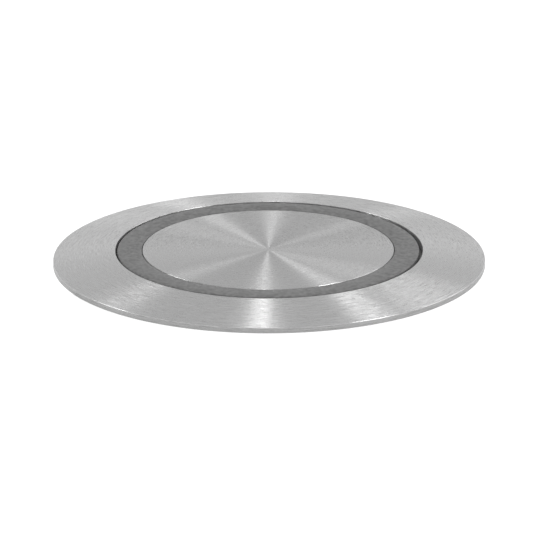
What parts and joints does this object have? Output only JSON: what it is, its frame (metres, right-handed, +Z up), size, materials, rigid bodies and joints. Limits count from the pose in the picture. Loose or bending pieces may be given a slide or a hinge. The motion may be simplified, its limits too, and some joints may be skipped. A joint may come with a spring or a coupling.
{
  "type": "in-ground well light",
  "caption": "Round in-ground well light: turned steel bezel and centre disc around a ring diffuser, on a finned housing held by sprung clips in a ground sleeve.",
  "frame": {"origin": "centre of the mounting sleeve's underside; the finished ground line is at z = 120 mm", "axes": "+Z up along the light's own axis, +Y towards the sleeve's side entry and the cable gland"},
  "size_m": [0.2, 0.2, 0.1273],
  "materials": {
    "turned_steel": "turned, fine concentric grain",
    "satin_diffuser": "satin",
    "cast_aluminium": "die-cast, blasted",
    "sleeve_plastic": "moulded, fine texture",
    "black_rubber": "matt",
    "clear_silicone": "satin",
    "stainless_hardware": "bright",
    "spring_steel": "bright, rolled",
    "white_tray": "gloss white",
    "board_white": "solder mask on aluminium",
    "chip_phosphor": "silicone dome",
    "driver_case": "potted case",
    "terminal_plastic": "moulded",
    "lead_jacket": "silicone jacket",
    "nickel_brass": "nickel plated"
  },
  "bodies": {
    "ground_sleeve": {"mounting_sleeve": "sleeve_plastic", "sleeve_base": "sleeve_plastic", "sleeve_grommet": "black_rubber"},
    "light_unit": {"bezel_ring": "turned_steel", "bezel_gasket": "black_rubber", "centre_disc": "turned_steel", "diffuser_ring": "satin_diffuser", "outer_lens_gasket": "clear_silicone", "inner_lens_gasket": "clear_silicone", "outer_housing_seal": "clear_silicone", "inner_housing_seal": "clear_silicone", "stud_seal": "black_rubber", "disc_stud": "stainless_hardware", "disc_washer": "stainless_hardware", "disc_nut": "stainless_hardware", "housing": "cast_aluminium", "bezel_screws": "stainless_hardware", "reflector_tray": "white_tray", "led_board": "board_white", "led_chips": "chip_phosphor", "led_board_screws": "stainless_hardware", "led_lead_grommet": "black_rubber", "led_lead": "lead_jacket", "driver": "driver_case", "driver_screws": "stainless_hardware", "terminal_block": "terminal_plastic", "terminal_block_screws": "stainless_hardware", "mains_lead": "lead_jacket", "earth_screw": "stainless_hardware", "base_cover": "cast_aluminium", "base_cover_seal": "clear_silicone", "base_cover_screws": "stainless_hardware", "gland_body": "nickel_brass", "gland_washer": "black_rubber", "gland_locknut": "nickel_brass", "gland_seal": "black_rubber", "vent_plug": "nickel_brass", "clip_pins": "stainless_hardware"},
    "clip_a": {"clip_arm_a": "spring_steel", "clip_spring_a": "spring_steel"},
    "clip_b": {"clip_arm_b": "spring_steel", "clip_spring_b": "spring_steel"},
    "clip_c": {"clip_arm_c": "spring_steel", "clip_spring_c": "spring_steel"},
    "cable_nut": {"gland_nut": "nickel_brass"}
  },
  "joints": [
    {"name": "unit_lift", "type": "slide", "parent": "ground_sleeve", "child": "light_unit", "axis": [0, 0, 1], "range_m": [0, 0.086]},
    {"name": "clip_a_fold", "type": "hinge", "parent": "light_unit", "child": "clip_a", "pos_m": [0, 0.077, 0.076], "axis": [1, 0, 0], "range_deg": [0, 15], "stiffness_Nm_per_rad": 0.18, "springref_deg": -34.38},
    {"name": "clip_b_fold", "type": "hinge", "parent": "light_unit", "child": "clip_b", "pos_m": [-0.06668, -0.0385, 0.076], "axis": [-0.5, 0.866, 0], "range_deg": [0, 15], "stiffness_Nm_per_rad": 0.18, "springref_deg": -34.38},
    {"name": "clip_c_fold", "type": "hinge", "parent": "light_unit", "child": "clip_c", "pos_m": [0.06668, -0.0385, 0.076], "axis": [-0.5, -0.866, 0], "range_deg": [0, 15], "stiffness_Nm_per_rad": 0.18, "springref_deg": -34.38},
    {"name": "cable_nut_turn", "type": "hinge", "parent": "light_unit", "child": "cable_nut", "pos_m": [0, 0.04, 0.0355], "axis": [0, 0, -1], "range_deg": [0, 360]}
  ]
}
